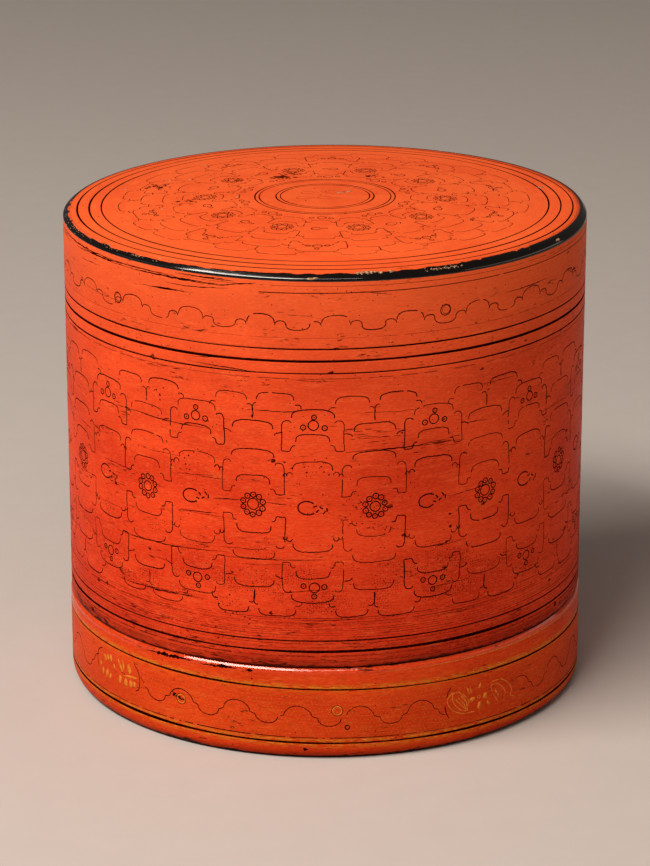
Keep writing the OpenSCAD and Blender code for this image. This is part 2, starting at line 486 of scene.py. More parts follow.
def turnedNoise(tree, across, alongMm, acrossMm, detail, seed):
    # noise drawn out along the turning direction: alongMm round the box, acrossMm across it
    where = onPiece(tree)
    flat = vectorCalc(tree, "MULTIPLY", where, (1, 1, 0))
    heading = {0: vectorCalc(tree, "NORMALIZE", flat), "Scale": lidR / alongMm}
    around = addNode(tree, "VectorMath", heading, operation="SCALE").outputs[0]
    if across == "z":
        depth = addNode(tree, "SeparateXYZ", {0: where}).outputs["Z"]
    else:
        depth = vectorCalc(tree, "LENGTH", flat, output="Value")
    scaled = calc(tree, "MULTIPLY", depth, 1 / (acrossMm * mm))
    rise = addNode(tree, "CombineXYZ", {"X": seed * 3.7, "Y": seed * 1.9, "Z": scaled}).outputs[0]
    place = vectorCalc(tree, "ADD", around, rise)
    inputs = {"Vector": place, "Scale": 1.0, "Detail": detail, "Roughness": 0.55}
    return addNode(tree, "TexNoise", inputs).outputs["Fac"]


def heightRamp(tree, across, span, stops, slope=0.0):
    # a value that changes across the piece: stops are (mm, value) between the ends of the span;
    # slope is how far the levels fall for each mm to the right
    low, high = span
    where = onPiece(tree)
    if across == "z":
        depth = vectorCalc(tree, "DOT_PRODUCT", where, (slope, 0, 1), output="Value")
    else:
        flat = vectorCalc(tree, "MULTIPLY", where, (1, 1, 0))
        depth = vectorCalc(tree, "LENGTH", flat, output="Value")
    ramp = addNode(tree, "ValToRGB", {"Fac": ranged(tree, depth, low * mm, high * mm)})
    table = ramp.color_ramp.elements
    while len(table) < len(stops):
        table.new(0.5)
    for element, (at, value) in zip(table, stops):
        element.position = (at - low) / (high - low)
        element.color = (value, value, value, 1)
    return ramp.outputs["Color"]


# mm along the turning, mm across it, and detail of each noise in a red coat
coatNoise = {"tone": (60, 22, 2), "cloud": (12, 2.8, 4), "hair": (5, 0.4, 3),
             "rub": (3.6, 0.8, 4), "patch": (20, 6, 3), "grain": (1.5, 0.45, 2)}
# what all red coats share unless their own settings say otherwise; speck is the pale tint of the grain,
# partly a painted glint of the polish
coatBase = {"across": "z", "gloss": 0.32, "dulled": 0.16, "shine": 0.3, "grain": 0.15, "hair": 0.4,
            "pits": 0.06, "pitCell": 1.7, "fall": 0.0, "under": "#2a0c07", "dirtAndShade": "#4a1208",
            "speck": "#ff8a58", "pale": "#ff7a40", "gold": "#c8801f"}


def lacquer(changes):
    # Thitsi lacquer coloured with cinnabar over black, polished on the lathe: a warm red with slow
    # changes of tone, hair-fine turning marks, and the black coat showing where it is rubbed or pitted.
    settings = {**coatBase, **changes}
    material, tree = newMaterial(settings["name"])
    across = settings["across"]
    noise = {name: turnedNoise(tree, across, *size, settings["seed"] + i)
             for i, (name, size) in enumerate(coatNoise.items())}

    def tinted(colour, amount, tint):
        return mixed(tree, amount, colour, linear(settings[tint]))

    def level(key, fall=0.0):
        return heightRamp(tree, across, settings["span"], settings[key], fall)

    colour = tinted(linear(settings["bright"]), stepped(tree, noise["tone"], 0.35, 0.65), "deep")
    colour = tinted(colour, stepped(tree, noise["cloud"], 0.5, 0.85), "rubbed")
    faint = calc(tree, "MULTIPLY", stepped(tree, noise["hair"], 0.42, 0.8), settings["hair"])
    colour = tinted(colour, faint, "shade")
    # grain: pale specks, partly painted glints of the fine polish, and darker specks of the coat
    for limit, tint in ((0.75, "speck"), (0.25, "shade")):
        share = calc(tree, "MULTIPLY", stepped(tree, noise["grain"], 0.5, limit), settings["grain"])
        colour = tinted(colour, share, tint)
    # darkening by a height ramp, made patchy: dirt, and painted shade where the lid meets the plinth and at
    # the foot
    patchiness = calc(tree, "MULTIPLY_ADD", stepped(tree, noise["cloud"], 0.25, 0.7), 0.5, 0.6)
    colour = tinted(colour, calc(tree, "MULTIPLY", level("grimeAndShade", settings["fall"]), patchiness), "dirtAndShade")
    if "faded" in settings:
        colour = tinted(colour, level("faded"), "pale")
    if "gilding" in settings:
        leaf = level("gilding", settings["gildingFall"])
        thin = calc(tree, "MULTIPLY", leaf, stepped(tree, noise["rub"], 0.38, 0.58))
        colour = tinted(colour, thin, "gold")
    lifted = calc(tree, "MULTIPLY_ADD", noise["patch"], 0.8, noise["rub"])
    reach = calc(tree, "MULTIPLY_ADD", level("wear", settings["fall"]), 0.5, lifted)
    colour = tinted(colour, stepped(tree, reach, 1.1, 1.32), "under")
    cells = addNode(tree, "TexVoronoi", {"Vector": onPiece(tree), "Scale": 1 / (settings["pitCell"] * mm)})
    pit = stepped(tree, cells.outputs["Distance"], 0.2, 0.08)
    picked = addNode(tree, "SeparateColor", {0: cells.outputs["Color"]}).outputs[0]
    some = stepped(tree, picked, 1 - settings["pits"], 1.04 - settings["pits"])
    colour = tinted(colour, calc(tree, "MULTIPLY", pit, some), "under")
    gloss = ranged(tree, noise["cloud"], 0.3, 0.8, settings["gloss"], settings["gloss"] + settings["dulled"])
    relief = calc(tree, "MULTIPLY_ADD", noise["hair"], 0.5, noise["rub"])
    bump = addNode(tree, "Bump", {"Strength": 0.3, "Distance": 0.00012, "Height": relief}).outputs[0]
    shine = level("polished", settings["fall"]) if "polished" in settings else settings["shine"]
    return finishMaterial(material, colour, gloss, shine, bump)


blackCoat = {"black": "#0d0908", "chipped": "#5a2418", "lap": "#f05a28",
             "lapFall": -0.0085,    # fall of the red coat's edge for each mm to the right
             "lapWaver": 0.0012}    # metres that the edge may stray


def blackLacquer(name, seed, chips, paintZ=None):
    # Black thitsi, burnished: near black with a wet shine, finely scratched, brown where it is chipped.
    # Over paintZ, in mm, the red coat laps on to it with an uneven edge.
    material, tree = newMaterial(name)
    scratch = turnedNoise(tree, "z", 40, 0.4, 2, seed)
    worn = turnedNoise(tree, "z", 5, 2.2, 4, seed + 1)
    bare = stepped(tree, worn, chips, chips + 0.04)
    colour = mixed(tree, bare, linear(blackCoat["black"]), linear(blackCoat["chipped"]))
    if paintZ:
        height = vectorCalc(tree, "DOT_PRODUCT", onPiece(tree), (blackCoat["lapFall"], 0, 1), output="Value")
        uneven = calc(tree, "MULTIPLY_ADD", worn, blackCoat["lapWaver"], height)
        lap = stepped(tree, uneven, paintZ * mm, (paintZ + 0.1) * mm)
        colour = mixed(tree, lap, colour, linear(blackCoat["lap"]))
    gloss = ranged(tree, scratch, 0.3, 0.75, 0.04, 0.14)
    bump = addNode(tree, "Bump", {"Strength": 0.2, "Distance": 0.0001, "Height": worn}).outputs[0]
    return finishMaterial(material, colour, gloss, 0.6, bump)


def pigment(name, dark, pale, grainMm, roughness):
    # Dry colour rubbed into a cut: matt, and thin in places so that the ground shows
    material, tree = newMaterial(name)
    grain = stepped(tree, fineNoise(tree, 1 / (grainMm * mm)), 0.42, 0.68)
    return finishMaterial(material, mixed(tree, grain, linear(dark), linear(pale)), roughness, 0.0)


# span is the least and greatest mm of the ramps, which hold (mm, value)
wallCoat = {
    "name": "vermilion_lacquer_wall", "seed": 1, "span": (36, 206), "shine": 0.015,
    "grain": 0.22, "hair": 0.5, "pits": 0.2, "fall": -lidLean / lidR,
    "bright": "#ec441e", "deep": "#d63416", "rubbed": "#f4582a", "shade": "#9c2212", "under": "#45120a",
    # darker towards the lid's lower edge: dirt in the turning, and painted shade where the lid sits on the
    # plinth
    "grimeAndShade": [(40, 1.0), (41.4, 0.66), (46, 0.34), (51, 0.16), (58, 0.07), (90, 0.05), (150, 0.02),
              (204, 0.06)],
    "dirtAndShade": "#70180a",
    "faded": [(40, 0.0), (110, 0.02), (160, 0.16), (200, 0.42)],
    "wear": [(39, 1.4), (40.2, 1.1), (41.0, 0.36), (46, 0.22), (60, 0.12), (100, 0.06), (130, 0.06),
             (150, 0.04), (172, 0.1), (204, 0.14)]}
topCoat = {
    "name": "vermilion_lacquer_top", "across": "r", "seed": 11, "span": (0, 110), "gloss": 0.36,
    "shine": 0.12, "hair": 0.2, "pits": 0.05,
    "bright": "#fc642c", "deep": "#f45a26", "rubbed": "#ff7034", "shade": "#c04018", "under": "#60200f",
    "grimeAndShade": [(0, 0.1), (28, 0.05), (30, 0.0), (100, 0.0), (106, 0.12)], "dirtAndShade": "#a83212",
    "wear": [(0, 0.05), (30, 0.0), (80, 0.0), (102, 0.0), (106, 0.1)]}
plinthCoat = {
    "name": "vermilion_lacquer_plinth", "seed": 21, "span": (0, 41), "gloss": 0.3, "shine": 0.015,
    "grain": 0.18, "hair": 0.5, "pits": 0.12,
    "bright": "#e04216", "deep": "#d03810", "rubbed": "#e65620", "shade": "#8a240c",
    # darker at the foot and at the shoulder's top: dirt, and painted shade near the floor and under the lid
    "grimeAndShade": [(0, 0.9), (1.5, 0.5), (4, 0.15), (12, 0.05), (28, 0.05), (35, 0.0), (39.4, 0.1), (40, 0.6)],
    "dirtAndShade": "#5c1408",
    "gilding": [(4.6, 0.0), (6.2, 0.45), (7.2, 0.3), (8.4, 0.6), (9.8, 0.08), (13, 0.08), (26, 0.05),
                (28.8, 0.12), (30.2, 0.3), (31.5, 0.7), (32.4, 0.3), (33.6, 0.04), (37, 0.0)],
    "gildingFall": -bandLean / plinthR,
    "wear": [(0, 1.3), (1.5, 0.5), (3, 0.12), (12, 0.05), (30, 0.05), (36, 0.08), (39.5, 0.2), (39.9, 1.4)]}
shoulderCoat = {
    **plinthCoat, "name": "vermilion_lacquer_shoulder", "gloss": 0.04, "dulled": 0.08,
    "polished": [(30, 0.01), (37.2, 0.02), (38.0, 0.4), (40, 0.4)], "fall": -shoulderLean / plinthR}
innerCoat = {
    "name": "plain_red_lacquer_inside", "seed": 31, "span": (0, 206),
    "bright": "#bc3a1a", "deep": "#a83012", "rubbed": "#c44820", "shade": "#6e1c0c",
    "grimeAndShade": [(0, 0.3), (44, 0.2), (206, 0.1)], "wear": [(0, 0.15), (206, 0.15)]}
floorCoat = {
    "name": "plain_red_lacquer_floor", "across": "r", "seed": 41, "span": (0, 110), "gloss": 0.34,
    "bright": "#b4381a", "deep": "#a02c12", "rubbed": "#be4620", "shade": "#6a1a0c",
    "grimeAndShade": [(0, 0.1), (80, 0.15), (100, 0.5)], "wear": [(0, 0.2), (110, 0.25)]}
innerBlack = blackLacquer("black_lacquer_inside", 61, 0.78)
linePigment = pigment("soot_pigment_lines", "#160202", "#320503", 2.5, 0.7)
topPigment = pigment("soot_pigment_rubbed", "#240403", "#581008", 1.6, 0.7)
goldPigment = pigment("orpiment_pigment_gold", "#d88a34", "#c4601c", 1.2, 0.5)
brushGold = pigment("orpiment_pigment_brushed", "#de8230", "#ca5c1a", 1.4, 0.5)
faintGold = pigment("thin_orpiment_dots", "#e08440", "#d06226", 3.0, 0.6)
faintPigment = pigment("thin_soot_turning_marks", "#581208", "#9c2812", 1.5, 0.6)
stainPigment = pigment("dark_lacquer_stain", "#4a1007", "#82240d", 1.2, 0.5)
barePigment = pigment("bare_clay_ground", "#c9a27c", "#7d5a45", 0.8, 0.8)

# a coat is a material, the body that carries it, and a slot
lidRed = (lacquer(wallCoat), "lid", engravedSlot)
topRed = (lacquer(topCoat), "lid", engravedSlot)
plinthRed = (lacquer(plinthCoat), "base", engravedSlot)
shoulderRed = (lacquer(shoulderCoat), "base", engravedSlot)
innerRed = lacquer(innerCoat)
floorRed = lacquer(floorCoat)
rimBlack = (blackLacquer("black_lacquer_rim", 51, 0.70, discEdgeZ - 0.05), "lid", blackSlot)
lidLine = (linePigment, "lid", blackSlot)
topLine = (topPigment, "lid", blackSlot)
lidStain = (stainPigment, "lid", blackSlot)
plinthLine = (linePigment, "base", blackSlot)
print("materials made")


# Lid

lidLines = {
    "bold": [(168.8, 1.15), (47.0, 1.6)],                 # z, width in mm
    "fine": [(173.8, 0.7), (163.8, 0.6), (51.6, 0.65)],
    "part": [(196.5, 0.55, -26, 530)],                    # z, width, and the arc where it starts and ends
    "skip": {"bold": 0.002, "fine": 0.001, "part": 0.002},    # chance of a gap at each point
}
lidEdges = {"wall": (0.25, 0.1), "mouth": (0.7, 0.25),    # rounding of the lower and upper edge, mm
            "rim": (2.1, 2.6, 1.9, 0.05)}                 # slope across and down, its easing, inner easing

wallGrooves = [g for g in lidLines["bold"] + lidLines["fine"] if lidWallLow + 1 < g[0] < lidWallHigh]
putHoop("lid_wall_lacquer", "lid_wall", lidRed, *lidEdges["wall"], grooves=wallGrooves)
putHoop("lid_mouth_lacquer", "lid_mouth_hoop", lidRed, *lidEdges["mouth"])
rimSection = slopedProfile("lid_rim_hoop", *lidEdges["rim"])
putPiece("lid_rim_lacquer", turnedRing(rimSection, True), rimBlack, ["lid_rim_hoop"])


def topSection():
    # the lid's disc: domed underside inside the wall, flat seat, edge, and domed top
    inner = np.linspace(0, lidBore, 16)
    under = np.stack([inner, lidWallHigh + domeRise * (1 - (inner / lidBore) ** 2)], 1)
    seat = np.array([[discR, lidWallHigh], [discR, discEdgeZ - 0.2]])
    outer = np.linspace(discR, 0, 48)
    upper = np.stack([outer, domeHeight(0 * outer, -outer)], 1)
    return np.concatenate([under, seat, upper])


def settleTop(points):
    # the upper skin follows the dents of the dome
    upper = points[:, 2] > discEdgeZ - 0.1
    height = domeHeight(points[:, 0], points[:, 1])
    points[:, 2] = np.where(upper, height, points[:, 2])
    return points


putPiece("lid_top_lacquer", turnedDisc(topSection(), settleTop), topRed, ["lid_top_disc"])
print("lid turned")


# Base

baseEdges = {"foot": (5.0, 0.25), "band": (0.25, 0.25), "shoulder": (1.4, 1.7, 1.8, 0.3), "floor": 0.3,
             "wall": (0.2, 0.2), "mouth": (0.2, 0.9, 0.9)}

putHoop("foot_lacquer", "base_foot_hoop", plinthRed, *baseEdges["foot"])
putHoop("plinth_band_lacquer", "base_plinth_band", plinthRed, *baseEdges["band"])
shoulderSection = slopedProfile("base_shoulder_hoop", *baseEdges["shoulder"])
putPiece("shoulder_lacquer", turnedRing(shoulderSection, True), shoulderRed, ["base_shoulder_hoop"])
floorShape = turnedDisc(discProfile("box_floor_disc", baseEdges["floor"]))
putPiece("box_floor_lacquer", floorShape, (innerBlack, "base", blackSlot), ["box_floor_disc"])
putHoop("box_wall_lacquer", "box_wall", (innerRed, "base", plainSlot), *baseEdges["wall"], swayed=False)
boxBlack = (innerBlack, "base", blackSlot)
putHoop("box_mouth_lacquer", "box_mouth_hoop", boxBlack, *baseEdges["mouth"], swayed=False)
print("base turned")


# Trays

trayEdges = {"floor": 0.3, "band": (0.2, 0.2), "rim": (0.2, 0.9, 0.9), "spigot": 0.3, "spigotMouth": 0.8}


def spigotProfile(tray):
    # section of a hoop that is slimmer below its seat
    bore, outer, low, high = nodeSpan(tray + "_spigot_hoop")
    seat = nodeSpan(tray + "_band")[2]
    slim = nodeSpan(tray + "_floor_disc")[1]
    ease = trayEdges["spigot"]
    corners = [(bore, low, ease), (slim, low, ease), (slim, seat, 0), (outer, seat, 0), (outer, high, ease),
               (bore, high, trayEdges["spigotMouth"])]
    return densify(roundedLoop(corners), handMade["step"])


for tray in ("lower_tray", "upper_tray"):
    trayRed = (innerRed, tray, plainSlot)
    floorShape = turnedDisc(discProfile(tray + "_floor_disc", trayEdges["floor"]))
    putPiece(tray + "_floor_lacquer", floorShape, (floorRed, tray, plainSlot), [tray + "_floor_disc"])
    putHoop(tray + "_band_lacquer", tray + "_band", trayRed, *trayEdges["band"], swayed=False)
    trayBlack = (innerBlack, tray, blackSlot)
    putHoop(tray + "_rim_lacquer", tray + "_rim_hoop", trayBlack, *trayEdges["rim"], swayed=False)
    spigotShape = turnedRing(spigotProfile(tray), False)
    putPiece(tray + "_spigot_lacquer", spigotShape, trayRed, [tray + "_spigot_hoop"])
print("trays turned")


# Engraving on the lid's wall: rows of arched cells, mirrored about a middle line

wallPattern = {
    "repeats": 14,
    "rosetteAngle": math.radians(-15.2),   # first rosette, from the front, + to the right
    "middle": 109.0,                       # z of the mirror line
    "dip": 0.75,                           # mm that the mirror line wavers
    "half": 0.3,                           # half width of a cut
    "circle": 1.0,                         # size of the circles
    "curl": 1.15,                          # size of the curls between the rosettes
    "mirrored": True,                      # the lower half repeats the upper
    "triplet": {1: 34.0, -1: 34.0},        # distance of a group of circles from the mirror line
    "skip": 0.01,                          # chance of a gap at each point
    "dot": 0.32,                           # radius of the dots
    "seed": 7,
}
# heights are over the middle line
lowCell = {"half": 8.7, "top": 23.2, "rise": 3.2, "shoulder": 18.0, "leg": 12.7, "foot": 4.8,
           "nestHalf": 7.0, "nestTop": 12.2, "nestRise": 3.4}
highCell = {"half": 8.4, "top": 40.6, "rise": 3.4, "shoulder": 36.0, "leg": 12.3, "foot": 23.3,
            "nestHalf": 6.8, "nestTop": 30.3, "nestRise": 3.2}
lowCap = {"half": 8.0, "top": 19.0, "rise": 3.4, "bumps": [(9.3, 1.2, 14.6), (11.2, 0.8, 13.9)]}
highCap = {"half": 8.3, "top": 35.0, "rise": 3.3, "over": [(-8.8, 6.6, 46.2), (9.4, 7.4, 46.9)]}
rosetteForm = {"heart": 2.2, "petals": 10, "ring": 4.15, "petal": 1.08}    # radii in mm, and a count
# a circle with three small ones about it, as x, z and radius
tripletForm = [(0.0, 0.0, 2.0), (-4.2, -0.8, 1.05), (4.3, -0.6, 1.05), (0.2, 3.6, 1.0)]


def cell(c):
    # an arch; beside it a rounded shoulder, a leg, a foot and a step up to a smaller arch inside
    step = c["nestHalf"] + 1.3
    side = np.concatenate([
        bend(c["half"] + 0.4, c["shoulder"] - 1.0, c["half"] + 2.0, c["shoulder"]),
        bend(c["leg"], c["shoulder"] - 2.4, c["half"] + 2.2, c["shoulder"])[::-1],
        [[c["leg"] + 0.2, c["foot"]], [step + 1.4, c["foot"] - 0.1]],
        bend(step + 0.9, c["foot"] + 0.3, step - 0.2, c["foot"] + 2.3),
        [[c["nestHalf"] + 0.3, c["foot"] + 2.2]]])
    crown = arch(0, c["half"], c["top"], c["rise"])
    nest = arch(0, c["nestHalf"], c["nestTop"], c["nestRise"])
    return [crown, nest] + bothSides(side)


def rosetteCap(c):
    # an arch between two cells, tied to their legs by short bends, and two arches over it on stems
    strokes = [arch(0, c["half"], c["top"], c["rise"])]
    strokes += bothSides(bend(c["half"] + 0.5, c["top"] - 5.6, 12.2, c["top"] - 4.2))
    for centre, half, top in c["over"]:
        strokes.append(arch(centre, half, top, 2.9))
        for way, stem in ((-1, min(0.2, centre * 2.07)), (1, max(0.2, centre * 2.07))):
            level = top - 4.5
            length = 5.8 if stem == 0.2 else 1.7
            neck = np.concatenate([[[centre + way * (half + 0.2), level - 0.2]],
                                   bend(stem, level - 1.5, stem - way * 1.4, level)[::-1],
                                   [[stem, level - length]]])
            strokes.append(neck)
    return strokes


def curlCap(c):
    # an arch between two cells on pairs of small bumps
    strokes = [arch(0, c["half"], c["top"], c["rise"])]
    for centre, half, top in c["bumps"]:
        strokes += bothSides(arch(centre, half, top, 1.3, 0.8, 9))
    return strokes


def tendril(turned):
    # a curl, most of a circle that opens as it turns, with a few leaf strokes beside it
    t = np.linspace(0.7, 5.4, 20)
    size = 2.0 + 0.14 * t
    curl = np.stack([-2.2 + 1.35 * size * np.cos(t), size * np.sin(t)], 1)
    spots = ((0.4, 0.3, 0.3), (1.2, -1.5, 0.8), (2.6, -0.2, -0.6), (3.6, -2.0, 0.9), (4.6, -1.0, 1.6))
    sweep = np.linspace(-0.7, 0.7, 6)
    leaves = [np.stack([x + sweep * math.cos(a), z + sweep * math.sin(a) + 0.35 * sweep ** 2], 1)
              for x, z, a in spots]
    flip = np.array([1, -1 if turned else 1])
    return [path * flip for path in [curl] + leaves]


def rosette(c):
    # small circles evenly round a larger one
    turn = np.arange(c["petals"]) * fullTurn / c["petals"]
    petals = [(c["ring"] * math.sin(a), c["ring"] * math.cos(a), c["petal"]) for a in turn]
    return [(0.0, 0.0, c["heart"])] + petals


def motifStrokes(circles, toSurface, column, height, flip, sets, rng):
    # circles about a mapped centre, each a little off its place and size, with dots in the small ones
    strokes, marks = [], []
    nudge = np.array([0.0, 0.05])
    spot = toSurface(column, np.zeros(2), height + nudge)
    outward = (spot[1] - spot[0]) / np.linalg.norm(spot[1] - spot[0])
    along = np.array([outward[1], -outward[0]])
    for x, z, radius in circles:
        centre = spot[0] + sets["circle"] * (x * along + flip * z * outward) + rng.normal(0, 0.12, 2)
        size = radius * sets["circle"] * rng.uniform(0.93, 1.07)
        strokes.append((ring(centre[0], centre[1], size), sets["half"] * 1.25, True))
        marks.append(centre)
    return strokes, marks[1:]


def patternStrokes(toSurface, sets, rng):
    # lays every repeat on a surface: toSurface maps column, x and height to the surface's own plane
    strokes, marks = [], []

    def addMotif(*motif):
        circles, centres = motifStrokes(motif[0], toSurface, *motif[1:], sets, rng)
        strokes.extend(circles)
        marks.extend(centres)

    full = ((0, cell(lowCell) + rosetteCap(highCap)), (0.5, cell(highCell) + curlCap(lowCap)))
    short = ((0, cell(lowCell)), (0.5, curlCap(lowCap)))
    for k in range(sets["repeats"]):
        for side, groups in ((1, full), (-1, full if sets["mirrored"] else short)):
            for shift, group in groups:
                slip = rng.normal(0, 0.2, 2)
                for path in group:
                    local = wander(resample(path, 0.8), rng, 0.11) + slip + rng.normal(0, 0.1, 2)
                    local += rng.normal(0, 0.05, local.shape)
                    mapped = toSurface(k + shift, local[:, 0], side * local[:, 1])
                    strokes += skipping(mapped, sets["half"] * rng.uniform(0.8, 1.25), rng, sets["skip"])
            addMotif(tripletForm, k + 0.5, side * sets["triplet"][side], side)
        addMotif(rosette(rosetteForm), k, 0.0, 1)
        for path in tendril(k % 2):
            local = resample(path * sets["curl"], 0.5)
            strokes.append((toSurface(k + 0.5, local[:, 0], local[:, 1]), sets["half"] * 1.5, False))
    return strokes, np.array(marks)


def wallSurface(column, x, height):
    # the mirror line dips slowly as it goes round
    angle = wallPattern["rosetteAngle"] + column * fullTurn / wallPattern["repeats"]
    dip = wallPattern["dip"] * (0.8 + np.sin(2 * angle))
    return np.stack([angle * lidR + x, wallPattern["middle"] - dip + height], 1)


onLid = wallPlace(lidR)
rng = np.random.default_rng(wallPattern["seed"])
strokes, marks = patternStrokes(wallSurface, wallPattern, rng)
putPiece("lid_wall_engraving", ribbon(strokes, onLid), lidLine)
putPiece("lid_wall_dots", dots(marks, wallPattern["dot"], onLid), lidLine)
print("wall engraved:", len(strokes), "strokes")


# Frieze under the rim: a scalloped line

frieze = {"repeats": 23, "hump": 4.25, "half": 0.3, "skip": 0.012, "seed": 17,
          "top": 187.7, "humpHalf": 5.5, "humpRise": 3.3,      # the hump
          "bump": 8.0, "bumpHalf": 2.3, "bumpTop": 185.1,      # the small arc at each side of it
          "dipHalf": 4.7, "dip": 181.2, "dipRise": 2.6,        # the hanging arc
          "circled": (1.5, 6.5, 11.5, 16.5, 19.7),             # repeats that carry a double circle
          "circle": (2.2, 18, 0.3), "innerCircle": (1.75, 16, 0.18)}     # radius, steps and half width


def friezeStrokes(c, rng):
    # each repeat: a hump between two small arcs, then a hanging arc to the next; the circles come last
    pitch = fullTurn * lidR / c["repeats"]
    out = []
    for k in range(c["repeats"]):
        paths = [arch(0, c["humpHalf"], c["top"], c["humpRise"], 0.8),
                 arch(pitch / 2, c["dipHalf"], c["dip"], -c["dipRise"], 0.8)]
        paths += bothSides(arch(c["bump"], c["bumpHalf"], c["bumpTop"], 1.6, 0.85, 12))
        for path in paths:
            local = wander(resample(path, 0.9), rng, 0.13) + [c["hump"] + k * pitch, rng.normal(0, 0.12)]
            out += skipping(local, c["half"] * rng.uniform(0.8, 1.2), rng, c["skip"])
    for k in c["circled"]:
        u, v = c["hump"] + k * pitch, c["bumpTop"] + rng.uniform(-0.4, 1.2)
        out.append(compass(u, v, *c["circle"]))
        out.append(compass(u + 0.2, v + 0.1, *c["innerCircle"]))
    return out


rng = np.random.default_rng(frieze["seed"])
putPiece("lid_frieze_engraving", ribbon(friezeStrokes(frieze, rng), onLid), lidLine)


# Turned lines of the lid

turningMarks = {"seed": 27, "width": 0.3, "skip": 0.07,
                "heights": [199.4, 178.4, 161.6] + [48.4 + 0.95 * k for k in range(15)]
                + [45.6, 44.6, 43.6, 42.6, 41.8]}
rng = np.random.default_rng(turningMarks["seed"])
strokes = []
for kind in ("bold", "fine"):
    for z, width in lidLines[kind]:
        strokes += roundLine(lidR, z, width, rng, lidLines["skip"][kind])
for z, width, first, last in lidLines["part"]:
    u = np.arange(first, last, 0.95)
    path = np.stack([u, z + 0.1 * np.sin(u / 40)], 1)
    strokes += skipping(path, width / 2, rng, lidLines["skip"]["part"])
putPiece("lid_turned_lines", ribbon(strokes, onLid), lidLine)
strokes = []
for z in turningMarks["heights"]:
    width = turningMarks["width"] * rng.uniform(0.5, 1.3)
    strokes += roundLine(lidR, z + rng.normal(0, 0.2), width, rng, turningMarks["skip"], 480)
putPiece("lid_turning_marks", ribbon(strokes, onLid), (faintPigment, "lid", blackSlot))


# Wear of the lid's wall: cracks along the turning, stipple left by the graver, stains

wallWear = {
    "seed": 57, "smudgeSeed": 87,
    "cracks": 70, "crackHeights": (54, 200), "crackLengths": (8, 34),
    "stains": 26, "stainHeights": (44, 198), "stainSizes": (0.4, 1.1),
    "stippleFields": 190, "stippleColumns": 11, "stippleRows": 5, "stipplePitch": 1.05,
    "stippleHeights": (60, 66, 96),        # least, commonest and greatest z of a field
    "stippleKept": 0.8,
    # start and end of the longest cracks, as arc and z
    "long": [((-46, 109.6), (-33, 110.4)), ((-24, 110.0), (-15, 109.4)), ((-97, 85.5), (-40, 87.5)),
             ((-44, 85.6), (0, 86.4)), ((-95, 139.6), (-47, 138.6)), ((52, 108.6), (72, 110.2)),
             ((8, 131.2), (58, 131.6)), ((-62, 102.4), (-44, 103.4)), ((-97, 65.0), (-52, 66.0))],
    "heavy": [((-150, 199.6), (-84, 198.0)), ((-128, 198.0), (-62, 198.6)), ((-86, 198.4), (-40, 197.6)),
              ((-44, 197.6), (-27, 199.8)), ((-62, 200.0), (-36, 199.8)), ((-75, 193.2), (-58, 193.6))],
    # stains that stand out, as arc, z and size
    "spots": [(-77.4, 82.3, 0.8), (-106, 59.4, 1.1), (51.9, 100.9, 0.8), (50.5, 89.4, 0.9), (-74, 164, 1.7),
              (-20.8, 127.5, 1.1), (-21.9, 63.2, 1.0), (-97.8, 105.6, 1.2), (-119.7, 43.5, 1.8),
              (-113.1, 58.6, 1.4), (26.0, 107.5, 1.3), (31.7, 95.1, 0.9), (52.1, 95.7, 0.8),
              (66.4, 159.1, 0.8), (117.6, 44.5, 1.1)],
    # patches of dark streaks, as arc, z, reach along and up, and number of streaks
    "smudges": [(-60.3, 157.8, 4, 1.2, 7), (-71, 160.4, 14, 1.6, 9), (-32.4, 160.6, 3, 1.2, 6),
                (-23.2, 159.6, 3, 1.4, 7), (-1.7, 161.6, 2.5, 1.2, 6), (-98, 106.6, 7, 3.5, 22),
                (-91, 137.6, 8, 2.5, 12), (-106, 126.5, 8, 2, 12), (-71, 110.2, 3, 1.2, 6),
                (-14, 113, 7, 1, 6),
                (-93, 113, 12, 1, 7), (19.5, 138.2, 12, 4, 22), (46, 131.2, 14, 2.5, 16),
                (25, 108.6, 3, 3, 14), (35.5, 116.8, 1.5, 1, 4), (95.5, 155, 1.6, 1.6, 7),
                (106, 127.6, 3, 2.5, 10),
                (-68, 66, 14, 1.2, 14), (-46, 55, 6, 2, 14), (-53, 47.3, 10, 2.2, 24), (-87, 55.2, 6, 1.5, 8),
                (-70, 53, 10, 1.2, 8), (-50, 92.8, 3, 0.8, 5), (-73, 79.2, 7, 0.8, 6),
                (27.6, 98.9, 1.6, 2.4, 9), (23.3, 83.4, 2.5, 0.7, 6), (46.9, 82.6, 2, 0.8, 5),
                (13, 53, 2.2, 1, 8), (59, 58.7, 8, 0.8, 6),
                (4.5, 176, 5, 3, 9), (19.5, 171, 5, 2, 12), (26, 175, 2, 1, 5)],
    "backSmudges": 44,                     # patches strewn over the side away from the front
    # sprays of small spots, as arc, z, reach and number of spots
    "sprays": [(-71.7, 148.8, 2.0, 16), (-60, 122.5, 5, 34), (-7.5, 123, 5, 24), (13, 106.5, 4, 36),
               (21, 99, 4, 20), (-40, 60, 8, 40)],
}


def crack(start, end, rng, weight=1.0):
    # a line that creeps from one point to another, thick in the middle and gone at the ends
    n = max(5, int((end[0] - start[0]) / 1.2))
    t = np.linspace(0, 1, n)
    creep = np.cumsum(rng.normal(0, 0.09, n))
    creep -= t * creep[-1]
    path = np.stack([start[0] + t * (end[0] - start[0]), start[1] + t * (end[1] - start[1]) + creep], 1)
    width = weight * rng.uniform(0.12, 0.26) * (0.25 + np.sin(t * math.pi)) * rng.uniform(0.5, 1.3, n)
    return path, width, False


